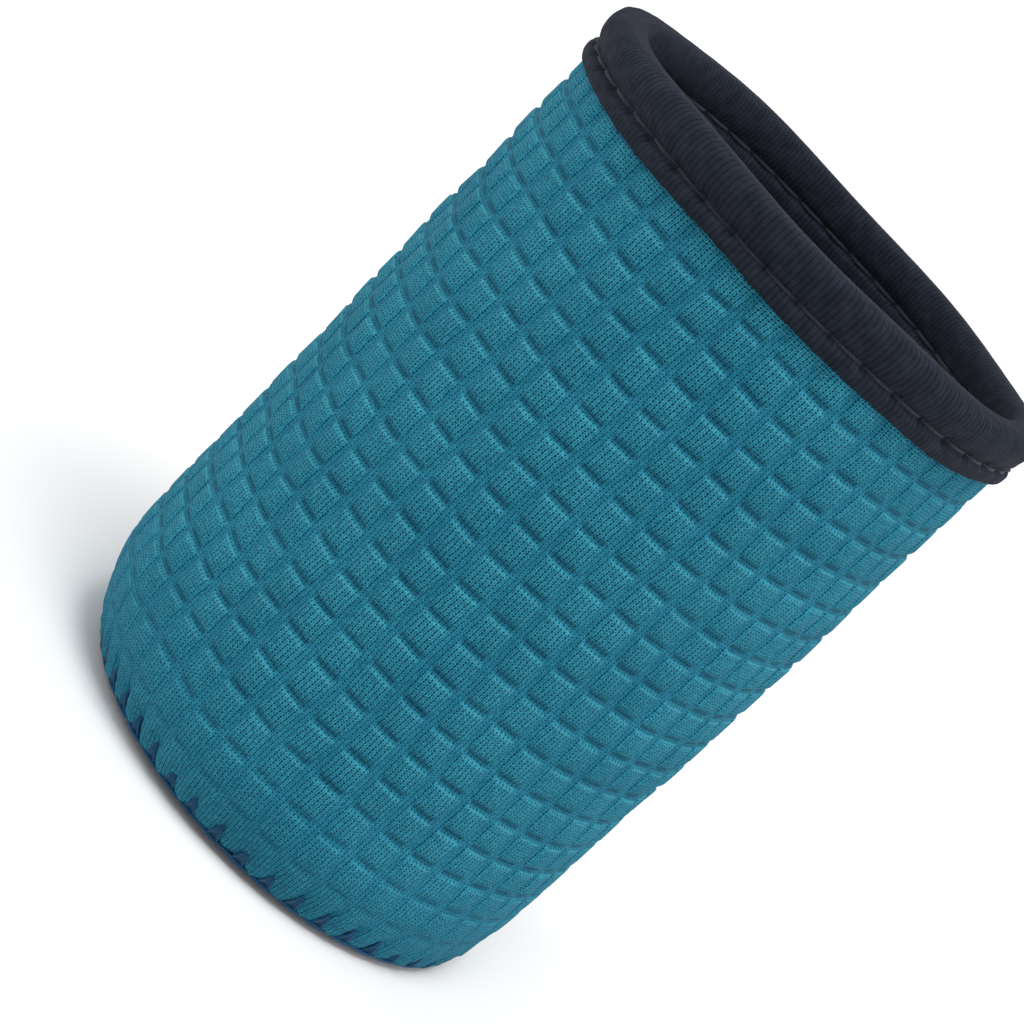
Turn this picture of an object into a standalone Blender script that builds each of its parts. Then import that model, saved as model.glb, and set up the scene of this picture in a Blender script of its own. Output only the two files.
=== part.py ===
"""Wash mitt: a foam-backed knit tube, closed by a sewn round base and bound round its mouth.

It stands on its closed end with the mouth up. The origin is the centre of the base's
underside and +Z runs up the mitt's axis. The wall and the base are laminates of three
layers, sewn edge to edge, and the wall's own closing seam runs down the back, at +Y.
"""

from math import asin, cos, hypot, pi, radians, sin

import bmesh
import bpy
from mathutils import Matrix, Vector

# Driving dimensions, in metres.
HEIGHT = 0.157
BODY_RADIUS = 0.054  # the wall's outer face at half height
TAPER = 0.086  # growth of the radius, as a share of it, for each metre of height
CORNER_INSET = 0.008  # how far the rounded lower corner draws in
CORNER_RISE = 0.018  # height at which that corner has run out
SEAM_TURN = radians(64)  # where round the corner wall and base are butted together
LAYER_GAP = 0.0003
FACE_THICKNESS = 0.0012
FOAM_THICKNESS = 0.0020
LINING_THICKNESS = 0.0006
BINDING_TURN_IN = 0.0120  # from the rim down to the binding's lower edge
BINDING_STITCH_DROP = 0.0083  # from the rim down to its row of stitches
TAPE_THICKNESS = 0.0011
THREAD_RADIUS = 0.0003
THREAD_CLEARANCE = 0.00025
BACK_SEAM_GAP = 0.0006  # between the wall's two butted upright edges
BACK_SEAM_STITCH = 0.005
BACK_SEAM_WIDTH = 0.004
BASE_SEAM_STITCHES = 47
FLAT_RADIUS = 0.044  # inside this the base's inner layers are level

AROUND = 48  # facets round the mitt
CORNER_STEPS = 5
BACK = pi / 2  # the closing seam's bearing, towards +Y

WALL_TOP = HEIGHT - TAPE_THICKNESS - 2 * LAYER_GAP
FOAM_DEPTH = FACE_THICKNESS + LAYER_GAP
LINING_DEPTH = FOAM_DEPTH + FOAM_THICKNESS + LAYER_GAP
WALL_THICKNESS = LINING_DEPTH + LINING_THICKNESS

TEAL = (0.016, 0.130, 0.200)
BLACK = (0.018, 0.020, 0.028)
PALE_GREY = (0.520, 0.470, 0.480)
FOAM_GREY = (0.060, 0.060, 0.065)
THREAD_BLUE = (0.018, 0.090, 0.190)


def wall_radius(z):
    """Radius of the wall's outer face above the rounded corner."""
    return BODY_RADIUS * (1 + TAPER * (z - HEIGHT / 2))


def corner_normal(turn):
    """(outward, downward) parts of the rounded corner's unit normal.

    The turn is 0 at the corner's top and a quarter at the floor.
    """
    outward, downward = cos(turn) / CORNER_INSET, sin(turn) / CORNER_RISE
    length = hypot(outward, downward)
    return outward / length, downward / length


def corner_point(turn, depth):
    """(r, z) on the rounded corner, depth inside its outer face."""
    outward, downward = corner_normal(turn)
    r = wall_radius(CORNER_RISE) - CORNER_INSET * (1 - cos(turn))
    z = CORNER_RISE * (1 - sin(turn))
    return r - depth * outward, z + depth * downward


def wall_line(depth):
    """The wall's section from its top down to the base seam, depth inside its outer face."""
    turns = [SEAM_TURN * i / CORNER_STEPS for i in range(CORNER_STEPS + 1)]
    return [(wall_radius(WALL_TOP) - depth, WALL_TOP)] + [corner_point(turn, depth) for turn in turns]


def base_edge(depth):
    """(r, z) on the base's sloping edge, a layer gap along the section from the wall's cut edge."""
    outward, downward = corner_normal(SEAM_TURN)
    r, z = corner_point(SEAM_TURN, depth)
    return r - LAYER_GAP * downward, z - LAYER_GAP * outward


def finish(name, mesh_or_curve, colour, roughness=0.9):
    """Links a named object with its own material and hangs it on the mitt's empty."""
    obj = bpy.data.objects.new(name, mesh_or_curve)
    bpy.context.scene.collection.objects.link(obj)
    obj.parent = bpy.data.objects["wash_mitt"]
    material = bpy.data.materials.new(name)
    material.use_nodes = True
    shader = material.node_tree.nodes["Principled BSDF"]
    shader.inputs["Base Color"].default_value = (*colour, 1)
    shader.inputs["Roughness"].default_value = roughness
    shader.inputs["Metallic"].default_value = 0
    material.diffuse_color = (*colour, 1)
    obj.data.materials.append(material)
    return obj


def spun(name, bm, geometry, angle, colour):
    """Spins the geometry round Z and makes the closed result a named object."""
    bmesh.ops.spin(bm, geom=geometry, axis=(0, 0, 1), cent=(0, 0, 0), angle=angle, steps=AROUND)
    bmesh.ops.remove_doubles(bm, verts=bm.verts[:], dist=1e-6)
    bmesh.ops.recalc_face_normals(bm, faces=bm.faces[:])
    mesh = bpy.data.meshes.new(name)
    bm.to_mesh(mesh)
    bm.free()
    mesh.shade_smooth()
    mesh.set_sharp_from_angle(angle=radians(35))
    return finish(name, mesh, colour)


def ring(name, section, colour):
    """Spins a closed (r, z) section a full turn round Z."""
    bm = bmesh.new()
    verts = [bm.verts.new((r, 0, z)) for r, z in section]
    edges = [bm.edges.new(pair) for pair in zip(verts, verts[1:] + verts[:1])]
    return spun(name, bm, verts + edges, 2 * pi, colour)


def sheet(name, section, colour, gap):
    """Spins a closed (r, z) section round Z and stops short at the back, where its two ends butt."""
    bm = bmesh.new()
    start = Matrix.Rotation(BACK + gap / 2, 3, "Z")
    verts = [bm.verts.new(start @ Vector((r, 0, z))) for r, z in section]
    face = bm.faces.new(verts)
    return spun(name, bm, verts + list(face.edges) + [face], 2 * pi - gap, colour)


def disc(name, line, colour):
    """Spins an open (r, z) line, which starts and ends on the axis, into a solid disc."""
    bm = bmesh.new()
    verts = [bm.verts.new((r, 0, z)) for r, z in line]
    edges = [bm.edges.new(pair) for pair in zip(verts, verts[1:])]
    return spun(name, bm, verts + edges, 2 * pi, colour)


def thread(name, points, colour, closed):
    """A round thread along the points, as a beveled poly curve."""
    curve = bpy.data.curves.new(name, "CURVE")
    curve.dimensions = "3D"
    curve.bevel_depth = THREAD_RADIUS
    curve.bevel_resolution = 1
    curve.use_fill_caps = not closed
    spline = curve.splines.new("POLY")
    spline.points.add(len(points) - 1)
    for spot, point in zip(spline.points, points):
        spot.co = (*point, 1)
    spline.use_cyclic_u = closed
    return finish(name, curve, colour, 0.6)


def at_bearing(r, bearing, z):
    """World point at a radius, a bearing from +X and a height."""
    return Vector((r * cos(bearing), r * sin(bearing), z))


def make_wall():
    """The three bonded layers of the wall, each a sheet butted to itself at the back."""
    gap = 2 * asin(BACK_SEAM_GAP / 2 / BODY_RADIUS)
    layers = (
        ("wall_face", 0, FACE_THICKNESS, TEAL),
        ("wall_foam", FOAM_DEPTH, FOAM_THICKNESS, FOAM_GREY),
        ("wall_lining", LINING_DEPTH, LINING_THICKNESS, PALE_GREY),
    )
    for name, depth, thickness, colour in layers:
        section = wall_line(depth) + wall_line(depth + thickness)[::-1]
        sheet(name, section, colour, gap)


def make_base():
    """The base's face, with its rim curled up to the seam, and its foam and lining above."""
    outer = [corner_point(SEAM_TURN + (pi / 2 - SEAM_TURN) * i / 3, 0) for i in (3, 2, 1)]
    inner = [corner_point(SEAM_TURN + (pi / 2 - SEAM_TURN) * i / 3, FACE_THICKNESS) for i in (1, 2, 3)]
    rim = [base_edge(0), base_edge(FACE_THICKNESS)]
    disc("base_face", [(0, 0)] + outer + rim + inner + [(0, FACE_THICKNESS)], BLACK)
    layers = (
        ("base_foam", FOAM_DEPTH, FOAM_THICKNESS, FOAM_GREY),
        ("base_lining", LINING_DEPTH, LINING_THICKNESS, PALE_GREY),
    )
    for name, depth, thickness, colour in layers:
        low, high = depth, depth + thickness
        rim = [base_edge(low), base_edge(high)]
        disc(name, [(0, low), (FLAT_RADIUS, low)] + rim + [(FLAT_RADIUS, high), (0, high)], colour)


def binding_section():
    """Closed (r, z) section of the tape folded over the wall's top edge: flange, stitched pinch and roll."""
    bottom, stitch = HEIGHT - BINDING_TURN_IN, HEIGHT - BINDING_STITCH_DROP
    outside = wall_radius(HEIGHT) + LAYER_GAP
    inside = wall_radius(bottom) - WALL_THICKNESS - LAYER_GAP
    middle = (outside + inside) / 2
    half = (outside - inside) / 2
    flange = half + TAPE_THICKNESS
    roll = flange + 0.0008
    outer_half = [
        (half, bottom),
        (flange - 0.0002, bottom),
        (flange + 0.0002, bottom + 0.0008),
        (flange, stitch - 0.0010),
        (flange - 0.0004, stitch),
        (flange + 0.0003, stitch + 0.0012),
        (roll, stitch + 0.0034),
        (flange - 0.0004, stitch + 0.0056),
        (half - 0.0010, HEIGHT),
    ]
    outer = [(middle + across, z) for across, z in outer_half]
    inner = [(middle - across, z) for across, z in reversed(outer_half)]
    channel_top = WALL_TOP + LAYER_GAP
    return outer + inner + [(inside, channel_top), (outside, channel_top)]


def make_binding():
    """The folded tape and the two threads of its lockstitch, one in each pinch."""
    section = binding_section()
    ring("mouth_binding", section, BLACK)
    stitch = HEIGHT - BINDING_STITCH_DROP
    pinches = sorted(r for r, z in section if abs(z - stitch) < 1e-6)
    clear = THREAD_RADIUS + THREAD_CLEARANCE
    radii = {"binding_needle_thread": pinches[1] + clear, "binding_bobbin_thread": pinches[0] - clear}
    for name, r in radii.items():
        points = [at_bearing(r, 2 * pi * i / AROUND, stitch) for i in range(AROUND)]
        thread(name, points, BLACK, closed=True)


def seam_zigzag(depth, start, stop):
    """Points that cross the back seam from side to side, up the wall at a depth inside its face."""
    count = round((stop - start) / (BACK_SEAM_STITCH / 2))
    points = []
    for i in range(count + 1):
        z = start + (stop - start) * i / count
        r = wall_radius(z) - depth
        side = BACK_SEAM_WIDTH / 2 * (1 if i % 2 else -1)
        points.append(at_bearing(r, BACK + asin(side / r), z))
    return points


def make_back_seam():
    """Zigzag threads that hold the wall's two edges together, outside and inside."""
    clear = THREAD_RADIUS + THREAD_CLEARANCE
    start, stop = CORNER_RISE, HEIGHT - BINDING_TURN_IN - 2 * clear
    thread("back_seam_needle_thread", seam_zigzag(-clear, start, stop), THREAD_BLUE, closed=False)
    inside = seam_zigzag(WALL_THICKNESS + clear, start, stop)
    thread("back_seam_bobbin_thread", inside, THREAD_BLUE, closed=False)


def make_base_seam():
    """Zigzag threads round the base's edge, which bite the wall and the base by turns."""
    clear = THREAD_RADIUS + THREAD_CLEARANCE
    outside = (corner_point(radians(46), -clear), corner_point(radians(71), -clear))
    lining = WALL_THICKNESS + clear
    inside = (corner_point(radians(40), lining), (FLAT_RADIUS - 0.001, lining))
    for name, bites in (("base_seam_needle_thread", outside), ("base_seam_bobbin_thread", inside)):
        points = []
        for i in range(2 * BASE_SEAM_STITCHES):
            r, z = bites[i % 2]
            points.append(at_bearing(r, pi * i / BASE_SEAM_STITCHES, z))
        thread(name, points, THREAD_BLUE, closed=True)


def main():
    for obj in list(bpy.data.objects):
        bpy.data.objects.remove(obj)
    empty = bpy.data.objects.new("wash_mitt", None)
    bpy.context.scene.collection.objects.link(empty)
    make_wall()
    make_base()
    make_binding()
    make_back_seam()
    make_base_seam()


main()
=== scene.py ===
"""Wash mitt, as it looks: an embossed knit sleeve with a sewn round base and a bound mouth.

Everything is in metres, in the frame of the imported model: the mitt stands on its closed end,
+Z runs up its axis, its closing seam is at the back (+Y), and its front faces -Y.
"""

import logging
from dataclasses import dataclass, field
from enum import Enum
from math import asin, pi, radians, sqrt, tau

import bmesh
import bpy
import numpy as np
from mathutils import Matrix, Vector


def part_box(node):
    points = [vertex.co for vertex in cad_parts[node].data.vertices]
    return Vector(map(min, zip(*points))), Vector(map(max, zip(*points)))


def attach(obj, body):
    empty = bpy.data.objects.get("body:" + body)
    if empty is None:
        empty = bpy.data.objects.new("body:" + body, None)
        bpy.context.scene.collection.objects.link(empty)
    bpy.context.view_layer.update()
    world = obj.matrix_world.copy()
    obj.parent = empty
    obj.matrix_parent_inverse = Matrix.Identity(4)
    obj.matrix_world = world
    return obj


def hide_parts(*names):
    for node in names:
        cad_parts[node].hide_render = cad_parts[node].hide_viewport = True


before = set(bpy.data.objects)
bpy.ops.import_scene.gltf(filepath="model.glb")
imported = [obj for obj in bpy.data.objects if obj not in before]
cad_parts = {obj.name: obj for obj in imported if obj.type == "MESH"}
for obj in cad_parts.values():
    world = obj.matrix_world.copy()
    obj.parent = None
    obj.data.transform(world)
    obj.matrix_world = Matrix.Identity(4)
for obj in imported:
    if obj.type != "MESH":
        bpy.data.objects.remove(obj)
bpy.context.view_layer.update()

LOG = logging.getLogger("wash_mitt")
BODY = "root"
Array = np.ndarray
Colour = tuple[float, float, float]


class Slot(Enum):
    """The record's material slots."""

    KNIT = "embossed_knit"
    FOAM = "foam"
    LINING = "lining_knit"
    BASE = "base_knit"
    TAPE = "binding_tape"
    BLACK_THREAD = "black_thread"
    BLUE_THREAD = "blue_thread"


# ---------------------------------------------------------------- shader graphs


class Wire:
    """A shader socket that takes part in Python sums. Each operator adds one Math node."""

    def __init__(self, graph: "Graph", socket: bpy.types.NodeSocket) -> None:
        """Wraps an output socket of the graph."""
        self.graph = graph
        self.socket = socket

    def _sum(self, operation: str, *terms: "Wire | float") -> "Wire":
        """Adds a Math node.

        Args:
            operation: the node's operation.
            terms: the values or wires that it takes.

        Returns:
            The node's result.
        """
        return self.graph.node("ShaderNodeMath", {"operation": operation}, dict(enumerate(terms)))

    def __add__(self, other: "Wire | float") -> "Wire":
        """self + other."""
        return self._sum("ADD", self, other)

    def __sub__(self, other: "Wire | float") -> "Wire":
        """self - other."""
        return self._sum("SUBTRACT", self, other)

    def __rsub__(self, other: float) -> "Wire":
        """other - self."""
        return self._sum("SUBTRACT", other, self)

    def __mul__(self, other: "Wire | float") -> "Wire":
        """self * other."""
        return self._sum("MULTIPLY", self, other)

    def __pow__(self, power: float) -> "Wire":
        """self ** power."""
        return self._sum("POWER", self, power)

    def __abs__(self) -> "Wire":
        """abs(self)."""
        return self._sum("ABSOLUTE", self)

    __radd__ = __add__
    __rmul__ = __mul__

    def fraction(self) -> "Wire":
        """The part after the decimal point."""
        return self._sum("FRACT", self)

    def wave(self) -> "Wire":
        """A cosine of one cycle for each unit, from 0 at the half to 1 at the whole numbers."""
        return self._sum("COSINE", self * tau) * 0.5 + 0.5

    def step(self, low: float, high: float) -> "Wire":
        """A smooth rise from 0 to 1.

        Args:
            low: where it leaves 0.
            high: where it reaches 1.

        Returns:
            The risen value.
        """
        settings = {"interpolation_type": "SMOOTHSTEP"}
        return self.graph.node("ShaderNodeMapRange", settings, {0: self, 1: low, 2: high})


class Graph:
    """One material, with the few moves that its node tree needs."""

    def __init__(self, name: str, roughness: float, sheen: float, tint: Colour) -> None:
        """Makes the material.

        Args:
            name: the material's name.
            roughness: the shader's roughness, where nothing feeds it.
            sheen: how much the fibre ends catch light.
            tint: the sheen's colour.
        """
        self.material = bpy.data.materials.new(name)
        self.material.use_nodes = True
        self.tree = self.material.node_tree
        self.shader = self.tree.nodes["Principled BSDF"]
        self.set("Roughness", roughness)
        self.set("Sheen Weight", sheen)
        self.set("Sheen Roughness", 0.5)
        self.set("Sheen Tint", tint)
        self.set("Specular IOR Level", 0.06)

    def feed(self, socket: bpy.types.NodeSocket, value: "Wire | float | tuple") -> None:
        """Links a wire to a socket, or sets the socket's own value.

        Args:
            socket: the socket.
            value: a wire, a number, a vector or a colour.
        """
        if isinstance(value, Wire):
            self.tree.links.new(value.socket, socket)
        elif isinstance(value, tuple) and socket.type == "RGBA":
            socket.default_value = (*value, 1.0)
        else:
            socket.default_value = value

    def set(self, name: str, value: "Wire | float | tuple") -> None:
        """Feeds one socket of the shader."""
        self.feed(self.shader.inputs[name], value)

    def node(self, kind: str, settings: dict, sockets: dict, output: int | str = 0) -> Wire:
        """Adds a node.

        Args:
            kind: the node's type.
            settings: its properties, set first.
            sockets: values or wires for its inputs, by name or place.
            output: which output is returned.

        Returns:
            That output.
        """
        made = self.tree.nodes.new(kind)
        for name, value in settings.items():
            setattr(made, name, value)
        for key, value in sockets.items():
            self.feed(made.inputs[key], value)
        return Wire(self, made.outputs[output])

    def blend(self, share: Wire | float, low: Wire | Colour, high: Wire | Colour) -> Wire:
        """A colour between two others.

        Args:
            share: 0 for low, 1 for high.
            low: the first colour.
            high: the second colour.

        Returns:
            The mixed colour.
        """
        return self.node("ShaderNodeMix", {"data_type": "RGBA"}, {0: share, 6: low, 7: high}, 2)

    def cloth(self) -> tuple[Wire, Wire]:
        """The two counts of the piece's own map, such as wales and courses.

        Returns:
            The map's first count and its second.
        """
        spot = self.node("ShaderNodeUVMap", {"uv_map": "cloth"}, {})
        parts = self.tree.nodes.new("ShaderNodeSeparateXYZ")
        self.feed(parts.inputs[0], spot)
        return Wire(self, parts.outputs[0]), Wire(self, parts.outputs[1])

    def share(self, name: str) -> Wire:
        """A share that the piece's points carry, such as how far they are raised."""
        return self.node("ShaderNodeAttribute", {"attribute_name": name}, {}, "Fac")

    def place(self) -> Wire:
        """Object coordinates."""
        return self.node("ShaderNodeTexCoord", {}, {}, "Object")

    def mottle(self, scale: float, detail: float = 2.0) -> Wire:
        """Noise about 0.5, on Object coordinates.

        Args:
            scale: features to a metre.
            detail: octaves.

        Returns:
            The noise.
        """
        sockets = {"Vector": self.place(), "Scale": scale, "Detail": detail}
        return self.node("ShaderNodeTexNoise", {}, sockets, 0)

    def emboss(self, height: Wire, depth: float, under: Wire | None = None) -> Wire:
        """A Bump node.

        Args:
            height: the pattern, from 0 to 1.
            depth: how deep the pattern is.
            under: the normal below it.

        Returns:
            The bent normal.
        """
        sockets = {"Height": height, "Distance": depth, "Strength": 1.0}
        if under is not None:
            sockets["Normal"] = under
        return self.node("ShaderNodeBump", {}, sockets)


def knit(wales: Wire, courses: Wire, slant: float = 0.85) -> tuple[Wire, Wire]:
    """Plain knit: columns of V-shaped loops with a small hole beside each loop.

    Args:
        wales: distance across the cloth, counted in columns of loops.
        courses: distance along it, counted in rows of loops.
        slant: how far a leg climbs, in rows.

    Returns:
        The yarn's height and the holes, both from 0 to 1.
    """
    leg = abs(wales.fraction() - 0.5)
    strand = (courses + leg * slant).wave()
    body = 1 - ((leg - 0.25) * 4) ** 2
    beside = leg.step(0.22, 0.43)
    hole = beside * (1 - (courses + 0.4).wave()).step(0.25, 0.75)
    height = body * (0.45 + strand * 0.55) - hole * 0.5
    return height, hole


@dataclass(frozen=True)
class EmbossedKnit:
    """Teal polyester jersey pressed into blocks, with darker grooves, partly pressed knit and partly
    painted shade.

    Attributes:
        yarn: the loops' colour.
        dark_yarn_and_shade: a darker yarn colour, for yarns darker at random and for painted shade in
            the hollows between the loops.
        wear_and_highlight: the painted highlight on the loops along a block's upper edge.
        gap: the holes between the loops; also the colour of the painted shadow under each block.
        groove: the cloth between the blocks, darker partly as pressed knit and partly as painted
            shade.
        wale_wobble: how far the columns of loops wander, in columns.
        course_wobble: how far the rows of loops wander, in rows.
        loop_depth: how deep a loop is.
    """

    yarn: Colour = (0.062, 0.450, 0.600)
    dark_yarn_and_shade: Colour = (0.006, 0.130, 0.225)
    wear_and_highlight: Colour = (0.110, 0.560, 0.660)
    gap: Colour = (0.001, 0.016, 0.038)
    groove: Colour = (0.004, 0.110, 0.210)
    wale_wobble: float = 0.45
    course_wobble: float = 0.8
    loop_depth: float = 0.00022

    def material(self) -> bpy.types.Material:
        """The cloth of the wall's face; its map counts wales and courses.

        Returns:
            The material, which also reads the shares raised, brow and crease; brow is a painted
            highlight and crease a painted shadow.
        """
        graph = Graph("embossed_knit", 0.75, 0.05, (0.45, 0.80, 0.95))
        wales, courses = graph.cloth()
        wales = wales + (graph.mottle(650.0, 1.0) - 0.5) * self.wale_wobble
        courses = courses + (graph.mottle(800.0, 1.0) - 0.5) * self.course_wobble
        height, hole = knit(wales, courses)
        raised, brow, crease = (graph.share(name) for name in ("raised", "brow", "crease"))
        tone = graph.blend(graph.mottle(55.0).step(0.3, 0.7) * 0.3, self.yarn, self.dark_yarn_and_shade)
        yarns = graph.mottle(1900.0, 1.0).step(0.35, 0.65)
        # Random darker yarns, and painted shade in the hollows between the loops, where the height is
        # low.
        tone = graph.blend(yarns * 0.40 + (1 - height) * 0.60, tone, self.dark_yarn_and_shade)
        # Grooves darker: partly the pressed knit, partly painted shade in the recess between the
        # blocks.
        tone = graph.blend((1 - raised) * 0.30, tone, self.groove)
        # Painted highlight: paler loops along each block's upper edge, as if lit from above.
        tone = graph.blend(brow * 0.26, tone, self.wear_and_highlight)
        # Painted shadow: a dark line just under each block's lower edge, where the block shades the
        # groove.
        tone = graph.blend(crease * 0.50, tone, self.gap)
        tone = graph.blend(hole * (0.52 + raised * 0.28), tone, self.gap)
        graph.set("Base Color", tone)
        graph.set("Roughness", 0.66 + hole * 0.25)
        fuzz = graph.emboss(graph.mottle(1500.0), 0.00008)
        graph.set("Normal", graph.emboss(height * (0.75 + raised * 0.25), self.loop_depth, fuzz))
        return graph.material


@dataclass(frozen=True)
class RibbedTape:
    """Black rib-knit tape, with a painted highlight on its rib crests and painted shade in its
    valleys; its map counts ribs and courses.
    """

    crest: Colour = (0.028, 0.034, 0.052)
    valley: Colour = (0.009, 0.012, 0.020)
    loop_depth: float = 0.00010

    def material(self) -> bpy.types.Material:
        """The binding's cloth.

        Returns:
            The material.
        """
        graph = Graph("binding_tape", 0.8, 0.03, (0.75, 0.80, 1.0))
        ribs, courses = graph.cloth()
        ridge = ribs.wave()
        height, hole = knit(ribs * 2, courses)
        lint = graph.mottle(420.0, 3.0).step(0.35, 0.75)
        # Painted highlight on the rib crests and painted shade in the valleys, mixed with random lint.
        tone = graph.blend(ridge * 0.5 + lint * 0.5, self.valley, self.crest)
        tone = graph.blend(hole * 0.6, tone, self.valley)
        graph.set("Base Color", tone)
        graph.set("Roughness", 0.72 + hole * 0.2)
        fuzz = graph.emboss(graph.mottle(1800.0), 0.00006)
        graph.set("Normal", graph.emboss(height, self.loop_depth, fuzz))
        return graph.material


@dataclass(frozen=True)
class PlainKnit:
    """A fine flat knit in one yarn, whose map counts wales and courses."""

    name: str
    yarn: Colour
    gap: Colour
    sheen: float
    loop_depth: float = 0.00010

    def material(self) -> bpy.types.Material:
        """The cloth.

        Returns:
            The material.
        """
        graph = Graph(self.name, 0.8, self.sheen, (0.9, 0.9, 1.0))
        height, hole = knit(*graph.cloth())
        wear_and_highlight = graph.mottle(70.0, 3.0).step(0.35, 0.7)
        faded = tuple(part * 1.35 for part in self.yarn)
        tone = graph.blend(wear_and_highlight, self.yarn, faded)
        graph.set("Base Color", graph.blend(hole * 0.7, tone, self.gap))
        graph.set("Roughness", 0.75 + hole * 0.2)
        fuzz = graph.emboss(graph.mottle(1500.0), 0.00006)
        graph.set("Normal", graph.emboss(height, self.loop_depth, fuzz))
        return graph.material


@dataclass(frozen=True)
class OpenFoam:
    """Dark grey open-cell foam."""

    wall: Colour = (0.11, 0.11, 0.12)
    cell: Colour = (0.025, 0.025, 0.028)
    cells: float = 1800.0

    def material(self) -> bpy.types.Material:
        """The foam of the wall and the base.

        Returns:
            The material.
        """
        graph = Graph("foam", 0.9, 0.0, (1.0, 1.0, 1.0))
        sockets = {"Vector": graph.place(), "Scale": self.cells}
        pores = graph.node("ShaderNodeTexVoronoi", {}, sockets, "Distance").step(0.1, 0.6)
        graph.set("Base Color", graph.blend(pores, self.cell, self.wall))
        graph.set("Normal", graph.emboss(pores, 0.0002))
        return graph.material


@dataclass(frozen=True)
class SpunThread:
    """Two-ply polyester thread, with painted shade in the grooves between its plies; its map counts
    twists along it and turns round it.
    """

    name: str
    light: Colour
    dark: Colour

    def material(self) -> bpy.types.Material:
        """The thread.

        Returns:
            The material.
        """
        graph = Graph(self.name, 0.5, 0.15, (0.9, 0.95, 1.0))
        along, turn = graph.cloth()
        ply = (along + turn * 2).wave()
        tone = graph.blend(graph.mottle(900.0), self.dark, self.light)
        # Painted shade: the grooves between the plies take the dark colour, and the ply crests take
        # the lighter one.
        graph.set("Base Color", graph.blend(ply * 0.6, self.dark, tone))
        graph.set("Roughness", 0.62 - ply * 0.15)
        graph.set("Normal", graph.emboss(ply, 0.00008))
        return graph.material


# ---------------------------------------------------------------- shapes


class Ripple:
    """A smooth, seeded unevenness over the cloth, which closes on itself round the mitt."""

    def __init__(self, seed: int, size: float, turns: int, length: float, waves: int = 9) -> None:
        """Draws the waves.

        Args:
            seed: the random seed.
            size: the usual height of the unevenness.
            turns: the most waves that go once round.
            length: the shortest wave down the cloth.
            waves: how many are added up.
        """
        rng = np.random.default_rng(seed)
        self.around = rng.integers(-turns, turns + 1, waves)
        self.down = rng.uniform(-tau / length, tau / length, waves)
        self.phase = rng.uniform(0, tau, waves)
        self.size = size * sqrt(2 / waves)

    def at(self, bearing: Array, down: Array) -> Array:
        """The unevenness at a bearing and a distance down the cloth."""
        waves = zip(self.around, self.down, self.phase)
        return self.size * sum(np.cos(m * bearing + k * down + p) for m, k, p in waves)


def smooth_step(value: Array, low: float, high: float) -> Array:
    """A smooth rise from 0 at low to 1 at high."""
    share = np.clip((value - low) / (high - low), 0, 1)
    return share * share * (3 - 2 * share)


def bell(value: Array, width: float) -> Array:
    """A bell curve of height 1 about 0."""
    return np.exp(-((value / width) ** 2))


def spline(points: list[tuple[float, float]], steps: int) -> Array:
    """A smooth open curve through points.

    Args:
        points: where it goes.
        steps: stretches between one point and the next.

    Returns:
        Points along the curve, both ends included.
    """
    given = np.array(points)
    padded = np.vstack([2 * given[0] - given[1], given, 2 * given[-1] - given[-2]])
    share = np.arange(steps)[:, None] / steps
    pieces = []
    for a, b, c, d in zip(padded, padded[1:], padded[2:], padded[3:]):
        bend = 2 * a - 5 * b + 4 * c - d
        curl = 3 * b - a - 3 * c + d
        pieces.append(b + share * ((c - a) + share * (bend + share * curl)) / 2)
    return np.vstack([*pieces, given[-1:]])


@dataclass(frozen=True)
class Form:
    """The mitt's outer surface, by bearing and by distance down the cloth from its top edge.

    Attributes:
        top: height of the cloth's top edge.
        mouth_radius: radius at that edge.
        slope: how much the radius shrinks for each metre down.
        corner_inset: how far in a full quarter turn of the bottom corner would come.
        corner_rise: how high up the corner starts.
        inset_lean: how much less the corner comes in at +X, and more at -X.
        rise_lean: how much lower the corner starts at +X, and higher at -X.
        corner_arc: cloth from there to the base seam, as a share of corner_rise.
        seam_turn: how far round the corner the base seam is.
        slant: how much the cloth sinks or climbs for each metre towards +X.
        slant_rise: the heights between which the slant sets in.
        sway: the unevenness of the sides.
    """

    top: float
    mouth_radius: float
    slope: float = 0.0046
    corner_inset: float = 0.0105
    corner_rise: float = 0.0205
    inset_lean: float = 0.0045
    rise_lean: float = 0.0035
    corner_arc: float = 0.955
    seam_turn: float = radians(64)
    slant: float = -0.0161
    slant_rise: tuple[float, float] = (0.001, 0.030)
    sway: Ripple = field(default_factory=lambda: Ripple(3, 0.00035, 5, 0.09))

    @property
    def length(self) -> float:
        """Length of cloth from the top edge round the corner to the base seam."""
        return self.top - self.corner_rise * (1 - self.corner_arc)

    def point(self, bearing: Array, down: Array, depth: Array | float = 0.0) -> Array:
        """Points of the surface.

        Args:
            bearing: angle from +X.
            down: distance down the cloth; past the seam it goes on round the base's rim.
            depth: distance inside the surface.

        Returns:
            The points, with x, y and z last.
        """
        inset = self.corner_inset - self.inset_lean * np.cos(bearing)
        rise = self.corner_rise - self.rise_lean * np.cos(bearing)
        straight = self.top - rise
        share = np.clip((down - straight) / (self.length - straight), 0, pi / 2 / self.seam_turn)
        turn = share * self.seam_turn
        fall = np.minimum(down, straight)
        outward = np.cos(turn) / inset
        downward = np.sin(turn) / rise
        size = np.hypot(outward, downward)
        radius = self.mouth_radius - self.slope * fall - inset * (1 - np.cos(turn))
        radius = radius + self.sway.at(bearing, fall) * np.cos(turn) - depth * outward / size
        height = self.top - fall - rise * np.sin(turn) + depth * downward / size
        east = radius * np.cos(bearing)
        height = height + self.slant * east * smooth_step(height, *self.slant_rise)
        return np.stack([east, radius * np.sin(bearing), height], -1)


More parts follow.
